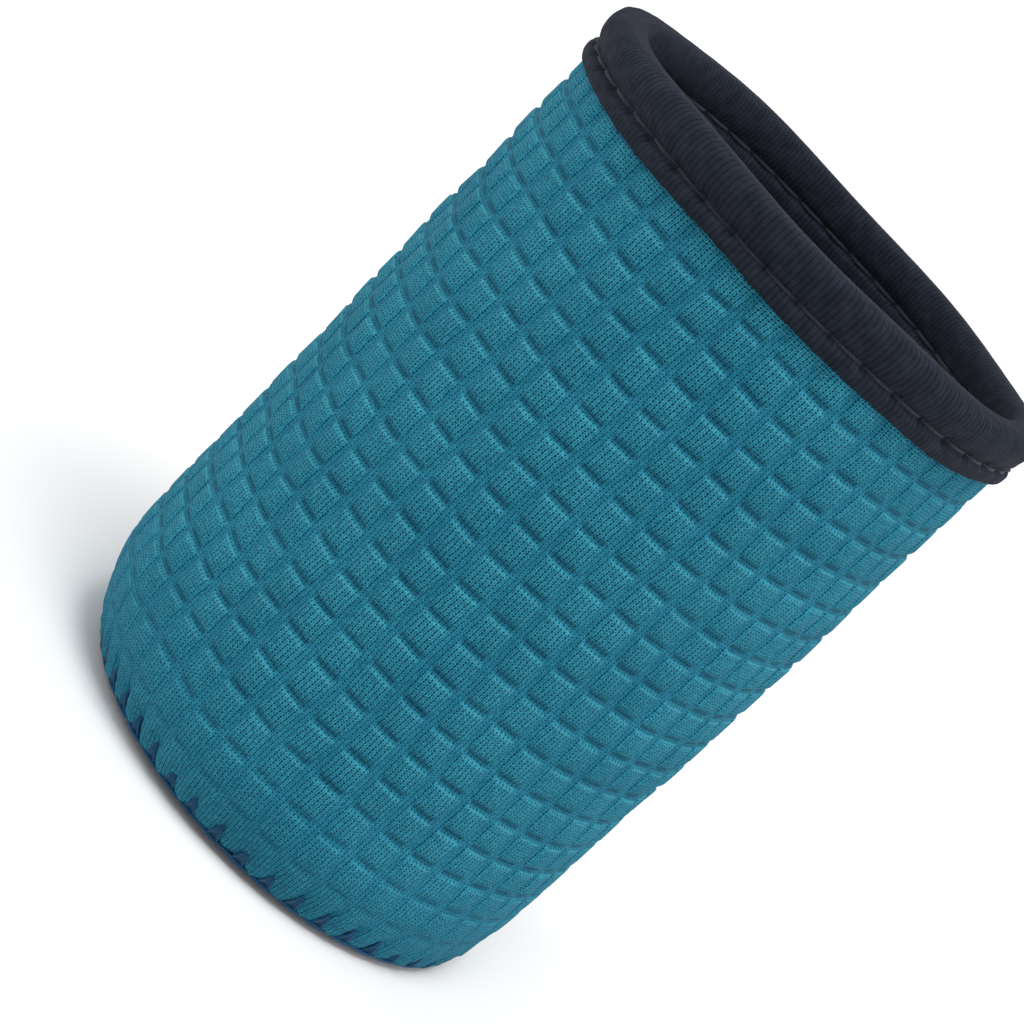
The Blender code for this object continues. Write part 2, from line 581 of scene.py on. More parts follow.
def quilt(rows: int, cols: int, close_rows: bool, close_cols: bool) -> tuple[Array, Array, Array]:
    """The quads of a lattice of points.

    Args:
        rows: points down the lattice.
        cols: points across it.
        close_rows: whether the last row joins the first.
        close_cols: whether the last column joins the first.

    Returns:
        For each quad's corners: the point, the row and the column, the last two unwrapped.
    """
    spans = np.arange(rows - 1 + close_rows), np.arange(cols - 1 + close_cols)
    row, col = (part.reshape(-1, 1) for part in np.meshgrid(*spans, indexing="ij"))
    rows_at = row + np.array([0, 1, 1, 0])
    cols_at = col + np.array([0, 0, 1, 1])
    return (rows_at % rows) * cols + cols_at % cols, rows_at, cols_at


@dataclass
class Pattern:
    """A piece being cut out: its points, its faces, and the map of each face's corners."""

    points: list[Array] = field(default_factory=list)
    faces: list[list[int]] = field(default_factory=list)
    spots: list[tuple[float, float]] = field(default_factory=list)
    count: int = 0

    def add(self, points: Array) -> int:
        """Adds points.

        Args:
            points: any lattice of points, with x, y and z last.

        Returns:
            The first one's number.
        """
        first = self.count
        flat = points.reshape(-1, 3)
        self.points.append(flat)
        self.count += len(flat)
        return first

    def lattice(self, points: Array, across: Array, along: Array, wrap: bool = False) -> int:
        """Adds a lattice of quads.

        Args:
            points: rows by columns of points.
            across: the map's first count for each column, with one more if it wraps.
            along: the map's second count for each row.
            wrap: whether the columns close on themselves.

        Returns:
            The first point's number.
        """
        rows, cols = points.shape[:2]
        first = self.add(points)
        index, row, col = quilt(rows, cols, False, wrap)
        self.faces += (index + first).tolist()
        self.spots += list(zip(across[col].ravel().tolist(), along[row].ravel().tolist()))
        return first

    def patch(self, face: list[int], spot: tuple[float, float] = (0.0, 0.0)) -> None:
        """Adds one face whose corners all have one place on the map."""
        self.faces.append(face)
        self.spots += [spot] * len(face)

    def sew(self, name: str, material: bpy.types.Material, crease: float = 50.0) -> bpy.types.Object:
        """Makes the piece.

        Args:
            name: its name.
            material: its finish.
            crease: the angle, in degrees, past which an edge is sharp.

        Returns:
            The object, linked to the scene.
        """
        mesh = bpy.data.meshes.new(name)
        mesh.from_pydata(np.concatenate(self.points).tolist(), [], self.faces)
        mesh.uv_layers.new(name="cloth")
        mesh.uv_layers["cloth"].data.foreach_set("uv", np.array(self.spots).ravel())
        mesh.validate()
        bm = bmesh.new()
        bm.from_mesh(mesh)
        bmesh.ops.recalc_face_normals(bm, faces=bm.faces[:])
        bm.to_mesh(mesh)
        bm.free()
        mesh.shade_smooth()
        mesh.set_sharp_from_angle(angle=radians(crease))
        mesh.materials.append(material)
        piece = bpy.data.objects.new(name, mesh)
        bpy.context.scene.collection.objects.link(piece)
        return piece


def shell(outer: Array, inner: Array, across: Array, along: Array, behind: Array) -> Pattern:
    """A closed sheet with four cut edges, between two lattices with the same columns.

    Args:
        outer: its outer face.
        inner: its inner face, which may have fewer rows.
        across: the map's count for each column.
        along: the map's count for each row of the outer face.
        behind: the map's count for each row of the inner face.

    Returns:
        The pattern.
    """
    pattern = Pattern()
    cols = outer.shape[1]
    front = pattern.lattice(outer, across, along) + np.arange(outer.size // 3).reshape(-1, cols)
    back = pattern.lattice(inner[:, ::-1], across[::-1], behind)
    back = back + np.arange(inner.size // 3).reshape(-1, cols)[:, ::-1]
    for row in (0, -1):
        for col in range(cols - 1):
            near, far = front[row, col : col + 2], back[row, col : col + 2]
            spot = float(across[col]), float(along[row])
            pattern.patch([*near.tolist(), *far[::-1].tolist()], spot)
    for col in (0, -1):
        edge = [*front[:, col].tolist(), *back[::-1, col].tolist()]
        pattern.patch(edge, (float(across[col]), float(along[0])))
    return pattern


def ring(loops: Array, across: Array, along: Array) -> Pattern:
    """A closed ring: rows are the loops round it, and the last row joins the first.

    Args:
        loops: rows by columns of points; every row goes once round.
        across: the map's count for each column, and one more.
        along: the map's count for each row, and one more.

    Returns:
        The pattern.
    """
    pattern = Pattern()
    first = pattern.add(loops)
    index, row, col = quilt(*loops.shape[:2], True, True)
    pattern.faces += (index + first).tolist()
    pattern.spots += list(zip(across[col].ravel().tolist(), along[row].ravel().tolist()))
    return pattern


def disc(loops: Array, low: Array, high: Array, scale: float) -> Pattern:
    """A closed disc: loops from its lower middle out round its rim and back to its upper middle.

    Args:
        loops: rows by columns of points; every row goes once round.
        low: the point in the middle of its underside.
        high: the point in the middle of its upper side.
        scale: map counts for each metre.

    Returns:
        The pattern, whose map is flat on X and Y.
    """
    pattern = Pattern()
    first = pattern.add(loops)
    rows, cols = loops.shape[:2]
    index, _, _ = quilt(rows, cols, False, True)
    faces = (index + first).tolist()
    for middle, row, turn in ((low, 0, 1), (high, rows - 1, -1)):
        centre = pattern.add(middle)
        start = first + row * cols
        faces += [[centre, start + k, start + (k + 1) % cols][::turn] for k in range(cols)]
    every = np.concatenate(pattern.points)
    pattern.faces = faces
    pattern.spots = [tuple(every[spot, :2] * scale) for face in faces for spot in face]
    return pattern


def strands(paths: Array, away: Array, radius: float, sides: int = 6, twist: float = 900.0) -> Pattern:
    """Round threads with closed ends.

    Args:
        paths: threads by points by x, y and z.
        away: the direction off the cloth at each point.
        radius: the thread's radius.
        sides: facets round it.
        twist: twists for each metre.

    Returns:
        The pattern of them all.
    """
    pattern = Pattern()
    run = np.gradient(paths, axis=1)
    run /= np.linalg.norm(run, axis=-1, keepdims=True)
    side = np.cross(run, away)
    side /= np.linalg.norm(side, axis=-1, keepdims=True)
    lift = np.cross(side, run)
    angles = np.arange(sides) * tau / sides
    for path, wide, tall in zip(paths, side, lift):
        steps = np.linalg.norm(np.diff(path, axis=0), axis=1)
        along = np.concatenate([[0], np.cumsum(steps)]) * twist
        hoop = wide[:, None] * np.cos(angles)[:, None] + tall[:, None] * np.sin(angles)[:, None]
        across = np.arange(sides + 1) / sides
        first = pattern.lattice(path[:, None] + radius * hoop, across, along, wrap=True)
        last = first + (len(path) - 1) * sides
        pattern.patch([first + k for k in range(sides)])
        pattern.patch([last + k for k in range(sides - 1, -1, -1)])
    return pattern


def hand_in(piece: bpy.types.Object, slot: Slot, node: str) -> bpy.types.Object:
    """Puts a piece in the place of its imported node.

    Args:
        piece: the finished piece.
        slot: the record's slot for its finish.
        node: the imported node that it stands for.

    Returns:
        The piece.
    """
    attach(piece, BODY)
    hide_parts(node)
    LOG.info("%s: %d faces, %s", piece.name, len(piece.data.polygons), slot.value)
    return piece


# ---------------------------------------------------------------- sub-assemblies


@dataclass
class Wall:
    """The laminate that goes round the mitt: embossed face, foam core and lining.

    Attributes:
        form: the outer surface.
        columns: blocks round the mitt.
        wales_in_column: columns of loops to a block.
        courses_in_row: rows of loops to a block.
        row_pitch: distance from one row of blocks to the next.
        first_row: how far down the cloth the first row starts.
        whole_rows: rows that have all their lines of points; the rest have even ones.
        gap: the slit between the wall's two upright edges.
        twist: how far round the columns wander on their way down.
        twist_reach: how far below the first row they have done so.
        relief: how far the blocks stand off the grooves.
        sunk: how far the grooves lie inside the form.
        upright: half widths of an upright groove at its foot and at its shoulder, in columns.
        level: half widths of a level groove at its foot and at its shoulder, in rows.
        faded: how much of the blocks is lost at the base seam.
        fading: rows above the seam between which it is lost.
        highlight_from: where the painted highlight under a block's upper edge starts, in rows.
        highlight_to: where it ends.
        highlight_side: how far from an upright groove's middle it sets in, in columns.
        shadow_line: middle and width of the painted shadow under a block, in rows.
        shadow_side: how far from an upright groove's middle the painted shadow sets in.
        covered: how far down the binding's edge holds the cloth flat.
        cover_edge: the stretch over which it comes free.
        held_top: distances down between which the cloth comes free of the binding.
        held_foot: distance above the base seam at which the seam starts to hold it.
        face_thickness: thickness of the knit.
        foam: depths of the foam's two sides.
        lining: depths of the lining's two sides.
        finer: the lining's loops to one of the face's.
        stitches: bites of the base seam.
        first_stitch: bearing of the first bite.
        bite: how far above the base seam the bites are.
        seam_radius: about the radius at the bites.
        bulge: how far the cloth stands out between two bites.
        bulge_run: distances past the bites between which it rises.
        pit: how deep a bite pulls the cloth in.
        pit_size: how wide and how long that pit is.
        valley: how deep the crease is that runs down through a bite.
        valley_width: how wide it is.
        valley_run: distances past the bites between which it deepens.
        drift: how far the columns stray sideways.
        slip: how far the rows stray along the cloth.
        crush: how uneven the blocks' heights are, as a share.
        swell: the cloth's own unevenness.
    """

    form: Form
    columns: int = 42
    wales_in_column: int = 9
    courses_in_row: float = 11.4
    row_pitch: float = 0.007474
    first_row: float = 0.0088
    whole_rows: int = 18
    gap: float = 0.0002
    twist: float = radians(3.1)
    twist_reach: float = 0.09
    relief: float = 0.00060
    sunk: float = 0.0004
    upright: tuple[float, float] = (0.085, 0.215)
    level: tuple[float, float] = (0.065, 0.170)
    faded: float = 0.6
    fading: tuple[float, float] = (4.5, 0.6)
    highlight_from: tuple[float, float] = (0.09, 0.14)
    highlight_to: tuple[float, float] = (0.17, 0.24)
    highlight_side: tuple[float, float] = (0.12, 0.20)
    shadow_line: tuple[float, float] = (-0.025, 0.045)
    shadow_side: tuple[float, float] = (0.12, 0.22)
    covered: float = 0.0100
    cover_edge: float = 0.0012
    held_top: tuple[float, float] = (0.008, 0.020)
    held_foot: float = 0.012
    face_thickness: float = 0.0005
    foam: tuple[float, float] = (0.0015, 0.0035)
    lining: tuple[float, float] = (0.0038, 0.0044)
    finer: float = 1.5
    stitches: int = 47
    first_stitch: float = radians(2.75)
    bite: float = 0.0058
    seam_radius: float = 0.049
    bulge: float = 0.00065
    bulge_run: tuple[float, float] = (-0.004, 0.002)
    pit: float = 0.0007
    pit_size: tuple[float, float] = (0.0010, 0.0012)
    valley: float = 0.0003
    valley_width: float = 0.0012
    valley_run: tuple[float, float] = (-0.0055, 0.0010)
    drift: Ripple = field(default_factory=lambda: Ripple(11, 0.00030, 13, 0.03))
    slip: Ripple = field(default_factory=lambda: Ripple(12, 0.00022, 13, 0.03))
    crush: Ripple = field(default_factory=lambda: Ripple(13, 0.16, 19, 0.02, 14))
    swell: Ripple = field(default_factory=lambda: Ripple(14, 0.00012, 30, 0.02, 14))

    @property
    def last_row(self) -> float:
        """The count of rows at the base seam."""
        return (self.form.length - self.first_row) / self.row_pitch

    def place(self, column: Array, row: Array) -> tuple[Array, Array]:
        """Where a spot of the cloth comes to lie.

        Args:
            column: columns of blocks from the closing seam.
            row: rows of blocks from the binding's edge.

        Returns:
            The bearing and the distance down the cloth.
        """
        span = tau - 2 * asin(self.gap / 2 / self.form.mouth_radius)
        bearing = pi / 2 + (tau - span) / 2 + column / self.columns * span
        down = self.first_row + row * self.row_pitch
        share = np.clip((down - self.first_row) / self.twist_reach, 0, 1)
        hold = np.sin(pi * np.clip(column / self.columns, 0, 1)) ** 0.5
        foot = self.form.length
        free = 1 - smooth_step(down, foot - self.held_foot, foot)
        ends = smooth_step(down, *self.held_top) * free
        drift = self.drift.at(bearing, down) / self.form.mouth_radius
        slip = self.slip.at(bearing, down)
        lean = self.twist * np.sin(pi / 2 * share) * hold
        return bearing - lean + drift * hold * ends, down + slip * ends

    def fade(self, row: Array) -> Array:
        """How well the blocks still show at a row, which falls away near the base seam."""
        start, stop = (self.last_row - rows for rows in self.fading)
        return 1 - self.faded * smooth_step(row, start, stop)

    def brow_highlights(self, column: Array, row: Array) -> Array:
        """How much painted highlight, along a block's upper edge as if lit from above, lies at a spot.

        Args:
            column: columns of blocks from the closing seam.
            row: rows of blocks from the binding's edge.

        Returns:
            The share, from 0 to 1.
        """
        across = np.abs(column - np.round(column))
        below = row - np.floor(row)
        edge = smooth_step(below, *self.highlight_from) * (1 - smooth_step(below, *self.highlight_to))
        return edge * smooth_step(across, *self.highlight_side) * self.fade(row) ** 2

    def shadows_under_blocks(self, column: Array, row: Array) -> Array:
        """How much of the painted shadow under a block's lower edge lies at a spot.

        Args:
            column: columns of blocks from the closing seam.
            row: rows of blocks from the binding's edge.

        Returns:
            The share, from 0 to 1.
        """
        across = np.abs(column - np.round(column))
        middle, width = self.shadow_line
        line = bell(row - np.round(row) - middle, width)
        return line * smooth_step(across, *self.shadow_side) * self.fade(row)

    def blocks(self, column: Array, row: Array) -> Array:
        """How far the cloth is raised, from 0 in the grooves to 1 on the blocks.

        Args:
            column: columns of blocks from the closing seam.
            row: rows of blocks from the binding's edge.

        Returns:
            The share, from 0 to 1.
        """
        across = np.abs(column - np.round(column))
        along = np.abs(row - np.round(row))
        raised = smooth_step(across, *self.upright) * smooth_step(along, *self.level)
        return raised * self.fade(row)

    def puckers(self, bearing: Array, down: Array) -> Array:
        """How far the base seam lifts the cloth between its stitches and pulls it in at them.

        Args:
            bearing: angle from +X.
            down: distance down the cloth.

        Returns:
            The lift in metres, below 0 where the cloth is pulled in.
        """
        spot = (bearing - self.first_stitch) * self.stitches / tau
        across = (spot - np.round(spot)) * tau / self.stitches * self.seam_radius
        past = down - (self.form.length - self.bite)
        wide, long = self.pit_size
        pit = bell(across, wide) * bell(past, long)
        valley = bell(across, self.valley_width) * smooth_step(past, *self.valley_run)
        between = (1 - np.cos(tau * (spot - np.round(spot)))) / 2
        bulge = between * smooth_step(past, *self.bulge_run)
        return bulge * self.bulge - pit * self.pit - valley * self.valley

    def surface(self, column: Array, row: Array, lift: Array | float = 0.0) -> Array:
        """Points of the embossed face, or above it by lift.

        Args:
            column: columns of blocks from the closing seam.
            row: rows of blocks from the binding's edge.
            lift: distance off the cloth.

        Returns:
            The points, with x, y and z last.
        """
        bearing, down = self.place(column, row)
        raised = self.blocks(column, row)
        soft = 1 + self.crush.at(bearing, down)
        edge = self.cover_edge
        free = smooth_step(down, self.covered - edge, self.covered + edge / 2)
        height = (raised * self.relief * soft + self.swell.at(bearing, down)) * free - self.sunk
        height = height + self.puckers(bearing, down)
        return self.form.point(bearing, down, -height - lift)

    def make_face(self, material: bpy.types.Material) -> bpy.types.Object:
        """The embossed knit, with lines of points along each groove's foot and shoulder.

        Args:
            material: its cloth.

        Returns:
            The piece.
        """
        steps = np.array([0, 0.09, 0.15, 0.21, 0.5, 0.79, 0.85, 0.91])
        column = np.append((np.arange(self.columns)[:, None] + steps).ravel(), self.columns)
        rises = np.array([0, 0.075, 0.12, 0.165, 0.225, 0.5, 0.80, 0.87, 0.925, 0.97])
        hidden = np.array([-1, -0.5])
        full = (np.arange(self.whole_rows)[:, None] + rises).ravel()
        row = np.concatenate([hidden, full, np.linspace(self.whole_rows, self.last_row, 12)])
        grid = np.meshgrid(column, row)
        outer = self.surface(*grid)
        plain = np.linspace(row[0], row[-1], 40)
        bearing, down = self.place(*np.meshgrid(column, plain))
        inner = self.form.point(bearing, down, self.sunk + self.face_thickness)
        wales = column * self.wales_in_column
        courses = [-rows * self.courses_in_row for rows in (row, plain)]
        face = shell(outer, inner, wales, *courses).sew("embossed_face", material)
        # brow holds a painted highlight and crease a painted shadow, kept on the points for the
        # material.
        shares = {"raised": self.blocks, "brow": self.brow_highlights, "crease": self.shadows_under_blocks}
        for name, share in shares.items():
            attribute = face.data.attributes.new(name, "FLOAT", "POINT")
            values = np.append(share(*grid).ravel(), np.zeros(bearing.size))
            attribute.data.foreach_set("value", values)
        hand_in(face, Slot.KNIT, "wall_face")
        return face

    def make_layer(
        self, name: str, depths: tuple[float, float], material: bpy.types.Material
    ) -> bpy.types.Object:
        """A plain layer behind the face, between two depths.

        Args:
            name: the layer's name.
            depths: how far in its two sides lie.
            material: the foam or the cloth.

        Returns:
            The piece.
        """
        column = np.linspace(0, self.columns, self.columns * 3 + 1)
        row = np.linspace(-1.1, self.last_row, 70)
        bearing, down = self.place(*np.meshgrid(column, row))
        outer, inner = (self.form.point(bearing, down, depth) for depth in depths)
        wales = column * self.wales_in_column * self.finer
        courses = -row * self.courses_in_row * self.finer
        return shell(outer, inner, wales, courses, courses).sew(name, material)

    def make(
        self, knit_face: bpy.types.Material, foam: bpy.types.Material, lining: bpy.types.Material
    ) -> None:
        """Builds the three layers.

        Args:
            knit_face: the face's cloth.
            foam: the core's foam.
            lining: the lining's cloth.
        """
        core = self.make_layer("wall_core", self.foam, foam)
        hand_in(core, Slot.FOAM, "wall_foam")
        self.make_face(knit_face)
        inside = self.make_layer("wall_inside", self.lining, lining)
        hand_in(inside, Slot.LINING, "wall_lining")


@dataclass
class Base:
    """The round closed end: a face whose rim curls up to the seam, foam and lining.

    Attributes:
        form: the outer surface.
        around: points round the base.
        joint_gap: the slit between the wall's edge and the base's.
        face_thickness: thickness of the knit.
        foam: depths of the foam's two sides.
        lining: depths of the lining's two sides.
        flat_radius: radius of the level part of the foam and the lining.
        flat_reach: about the radius of the flat underside, over which the dimples run.
        face_share: the face's width when cut, as a share of the mouth's; not used.
        hem: how much wider than flat_radius the lining is cut; not used.
        wales: columns of loops to a metre.
        middle: how far out the innermost loop of points is, as a share.
        dimple: the underside's unevenness.
    """

    form: Form
    around: int = 188
    joint_gap: float = 0.0003
    face_thickness: float = 0.0012
    foam: tuple[float, float] = (0.0015, 0.0035)
    lining: tuple[float, float] = (0.0038, 0.0044)
    flat_radius: float = 0.0435
    flat_reach: float = 0.045
    face_share: float = 0.9
    hem: float = 0.001
    wales: float = 1400.0
    middle: float = 0.06
    dimple: Ripple = field(default_factory=lambda: Ripple(21, 0.00018, 6, 0.02))

    def rim(self, depth: float, turns: Array) -> Array:
        """Loops on the curled rim, from the seam at 0 down to the floor at 1.

        Args:
            depth: how far inside the outer surface they lie.
            turns: where each loop is on the rim.

        Returns:
            Rows by columns of points.
        """
        bearing = np.linspace(0, tau, self.around, endpoint=False)
        form = self.form
        start = form.length + self.joint_gap
        rise = form.corner_rise - form.rise_lean * np.cos(bearing)
        stop = form.length + (form.length - form.top + rise) * (pi / 2 / form.seam_turn - 1)
        down = start + turns[:, None] * (stop - start)
        return form.point(bearing[None] + 0 * down, down, depth)

    def level(self, height: float, shares: Array, edge: Array, wavy: float = 0.0) -> Array:
        """Loops on a level layer.

        Args:
            height: the layer's height.
            shares: how far out each loop is, from 0 in the middle to 1 at the edge.
            edge: the loop at the edge.
            wavy: how much of the dimples it takes.

        Returns:
            The loops.
        """
        loops = edge[None] * shares[:, None, None]
        bearing = np.arctan2(edge[:, 1], edge[:, 0])
        out = shares[:, None] * self.flat_reach
        hollow = np.abs(self.dimple.at(bearing[None], out)) * wavy
        fade = 1 - shares[:, None] ** 8
        loops[..., 2] = height + hollow * fade
        return loops

    def make_face(self, material: bpy.types.Material) -> bpy.types.Object:
        """The black face, on which the mitt stands.

        Args:
            material: its cloth.

        Returns:
            The piece.
        """
        turns = np.linspace(1, 0, 7)
        outer = self.rim(0.0, turns)
        inner = self.rim(self.face_thickness, turns[::-1])
        shares = np.linspace(self.middle, 0.985, 16)
        under = self.level(0.0, shares, outer[0], wavy=1.0)
        over = self.level(self.face_thickness, shares[::-1], inner[-1], wavy=1.0)
        loops = np.concatenate([under, outer, inner, over])
        middle = np.array([0, 0, under[0, :, 2].mean()])
        pattern = disc(loops, middle, middle + [0, 0, self.face_thickness], self.wales)
        face = hand_in(pattern.sew("base_cloth", material), Slot.BASE, "base_face")
        return face

    def make_layer(
        self, name: str, depths: tuple[float, float], material: bpy.types.Material
    ) -> bpy.types.Object:
        """A layer above the face, level in the middle, its edge climbing to the seam.

        Args:
            name: the layer's name.
            depths: how far in its two sides lie.
            material: the foam or the cloth.

        Returns:
            The piece.
        """
        low, high = depths
        outside = self.rim(low, np.array([0.0]))
        inside = self.rim(high, np.array([0.0]))
        bearing = np.linspace(0, tau, self.around, endpoint=False)
        circle = self.flat_radius * np.stack([np.cos(bearing), np.sin(bearing), 0 * bearing], -1)
        shares = np.linspace(self.middle, 1.0, 12)
        under = self.level(low, shares, circle)
        over = self.level(high, shares[::-1], circle)
        loops = np.concatenate([under, outside, inside, over])
        pattern = disc(loops, np.array([0, 0, low]), np.array([0, 0, high]), self.wales)
        return pattern.sew(name, material)

    def make(
        self, knit_base: bpy.types.Material, foam: bpy.types.Material, lining: bpy.types.Material
    ) -> None:
        """Builds the three layers.

        Args:
            knit_base: the face's cloth.
            foam: the core's foam.
            lining: the lining's cloth.
        """
        self.make_face(knit_base)
        core = self.make_layer("base_core", self.foam, foam)
        hand_in(core, Slot.FOAM, "base_foam")
        inside = self.make_layer("base_inside", self.lining, lining)
        hand_in(inside, Slot.LINING, "base_lining")


@dataclass
class Binding:
    """The ribbed tape folded over the mouth, pinched along a row of lockstitches.

    Attributes:
        form: the outer surface.
        height: height of the rim.
        turn_in: how far down the tape's edges are.
        stitch_drop: how far down the stitches are.
        stitches: how many go round.
        first_stitch: bearing of the first one.
        ribs: how many go round.
        rib_height: how far they rise and fall.
        thread: the thread's radius.
        wall: thickness of the wall.
        inner_share: how far the inner side stands off the wall, as a share of the outer.
        roll: cloth that goes over the rim; not used.
        low_ribs: what is left of the ribs' height low on the tape.
        fold_width: how wide the fold along the stitches is.
        pinch: how deep the tape is pulled in at each end of a stitch.
        pinch_width: how wide a pinch is, in stitches.
        plumpness: how far the tape stands out between two pinches.
        dive: how deep a stitch's ends go in.
        arch: how far its middle rises above them.
        clear: the slit between the tape and the wall.
        edge: unevenness of the rim's height.
        hem: unevenness of the lower edges.
        plump: unevenness of the roll.
    """

    form: Form
    height: float
    turn_in: float = 0.0120
    stitch_drop: float = 0.0083
    stitches: int = 43
    first_stitch: float = radians(-93)
    ribs: int = 300
    rib_height: float = 0.00010
    thread: float = 0.00032
    wall: float = 0.0044
    inner_share: float = 0.7
    roll: float = 0.003
    low_ribs: float = 0.20
    fold_width: float = 0.0011
    pinch: float = 0.0007
    pinch_width: float = 0.13
    plumpness: float = 0.00015
    dive: float = 0.0003
    arch: float = 0.0012
    clear: float = 0.0003
    edge: Ripple = field(default_factory=lambda: Ripple(31, 0.00045, 7, 0.5))
    hem: Ripple = field(default_factory=lambda: Ripple(32, 0.00018, 11, 0.5))
    plump: Ripple = field(default_factory=lambda: Ripple(33, 0.00022, 9, 0.02))

    @property
    def stitch_height(self) -> float:
        """Height of the row of stitches."""
        return self.height - self.stitch_drop

    def half_section(self) -> Array:
        """Points up one side of the tape: how far it stands off the wall, and its height.

        Returns:
            The points, from the lower edge to the rim.
        """
        bottom = self.height - self.turn_in
        stitch = self.stitch_height
        return spline(
            [
                (0.0003, bottom + 0.0001),
                (0.0009, bottom - 0.0002),
                (0.0014, bottom + 0.0004),
                (0.0016, bottom + 0.0018),
                (0.0015, stitch - 0.0012),
                (0.0009, stitch - 0.0004),
                (0.0008, stitch + 0.0003),
                (0.0014, stitch + 0.0012),
                (0.0020, stitch + 0.0030),
                (0.0021, stitch + 0.0054),
                (0.0013, stitch + 0.0074),
                (-0.0005, stitch + 0.0083),
            ],
            3,
        )

    def side(self, bearing: Array, half: Array, inward: bool) -> Array:
        """Loops of the tape's outer or inner side.

        Args:
            bearing: the columns' bearings.
            half: the half section.
            inward: whether this is the side in the mouth.

        Returns:
            Rows by columns of points.
        """
        off, height = (part[:, None] for part in half.T)
        stitch = self.stitch_height
        spot = (bearing - self.first_stitch) * self.stitches / tau
        near_pit = bell(spot - np.round(spot), self.pinch_width)[None]
        between = (1 - np.cos(tau * spot))[None] / 2
        fold = bell(height - stitch, self.fold_width)
        roll = smooth_step(height, stitch + 0.0004, stitch + 0.0022)
        flange = smooth_step(stitch - 0.0004 - height, 0.0, 0.0016)
        brow = smooth_step(height, stitch + 0.0035, stitch + 0.0075)
        rise = self.low_ribs + (1 - self.low_ribs) * brow
        ridge = np.cos(bearing * self.ribs)[None] * self.rib_height * rise
        plump = self.plump.at(bearing[None], height) * (roll + flange * 0.5)
        pulled = near_pit * fold * self.pinch
        off = off + ridge * (1 - fold) - pulled + between * (roll + flange) * self.plumpness
        off = off + plump
        low = self.hem.at(bearing, 0.0)[None] - near_pit * 0.00015
        high = self.edge.at(bearing, 0.0)[None]
        climb = smooth_step(height, self.height - self.turn_in, self.height)
        height = height + low * (1 - climb) + high * climb
        down = self.form.top - height
        depth = self.wall + off * self.inner_share if inward else -off
        return self.form.point(bearing[None] + 0 * down, down, depth)

    def make_tape(self, material: bpy.types.Material) -> bpy.types.Object:
        """The folded tape, as one closed ring with a channel for the wall's edge.

        Args:
            material: its cloth.

        Returns:
            The piece.
        """
        count = self.ribs * 4
        bearing = np.linspace(0, tau, count, endpoint=False)
        half = self.half_section()
        outside = self.side(bearing, half, inward=False)
        inside = self.side(bearing, half[::-1], inward=True)
        bottom = self.height - self.turn_in + 0.0001
        ceiling = self.form.top + self.clear
        channel = [(self.wall + self.clear, bottom), (self.wall + self.clear, ceiling)]
        channel += [(-self.clear, ceiling), (-self.clear, bottom)]
        level = 0 * bearing
        slot = [self.form.point(bearing, self.form.top - z + level, depth) for depth, z in channel]
        loops = np.concatenate([outside, inside, np.array(slot)])
        steps = np.linalg.norm(np.diff(loops[:, 0], axis=0, append=loops[:1, 0]), axis=-1)
        along = np.concatenate([[0], np.cumsum(steps)]) * 2000.0
        across = np.arange(count + 1) * self.ribs / count
        tape = ring(loops, across, along).sew("rib_binding", material, crease=60.0)
        hand_in(tape, Slot.TAPE, "mouth_binding")
        return tape

    def make_stitches(
        self, name: str, depth: float, material: bpy.types.Material
    ) -> bpy.types.Object:
        """One row of lockstitches, each an arched thread that dives in at both ends.

        Args:
            name: the piece's name.
            depth: how far inside the outer surface the row lies; 0 is the outside.
            material: the thread.

        Returns:
            The piece.
        """
        share = np.linspace(0.04, 0.96, 11)
        start = self.first_stitch + np.arange(self.stitches)[:, None] * tau / self.stitches
        bearing = start + share * tau / self.stitches
        arch = np.sin(pi * share) ** 0.6
        off = (-self.dive + arch * self.arch)[None] + 0 * bearing
        height = self.stitch_height + self.edge.at(bearing, 0.0) * 0.4 - 0.0001 * arch
        sign = -1.0 if depth == 0 else 1.0
        paths = self.form.point(bearing, self.form.top - height, depth + sign * off)
        away = np.stack([np.cos(bearing), np.sin(bearing), 0 * bearing], -1) * -sign
        return strands(paths, away, self.thread).sew(name, material)

    def make(self, tape: bpy.types.Material, thread: bpy.types.Material) -> None:
        """Builds the tape and its two threads.

        Args:
            tape: the tape's cloth.
            thread: the stitches' thread.
        """
        self.make_tape(tape)
        needle = self.make_stitches("binding_needle_stitches", 0.0, thread)
        hand_in(needle, Slot.BLACK_THREAD, "binding_needle_thread")
        bobbin = self.make_stitches("binding_bobbin_stitches", self.wall, thread)
        hand_in(bobbin, Slot.BLACK_THREAD, "binding_bobbin_thread")


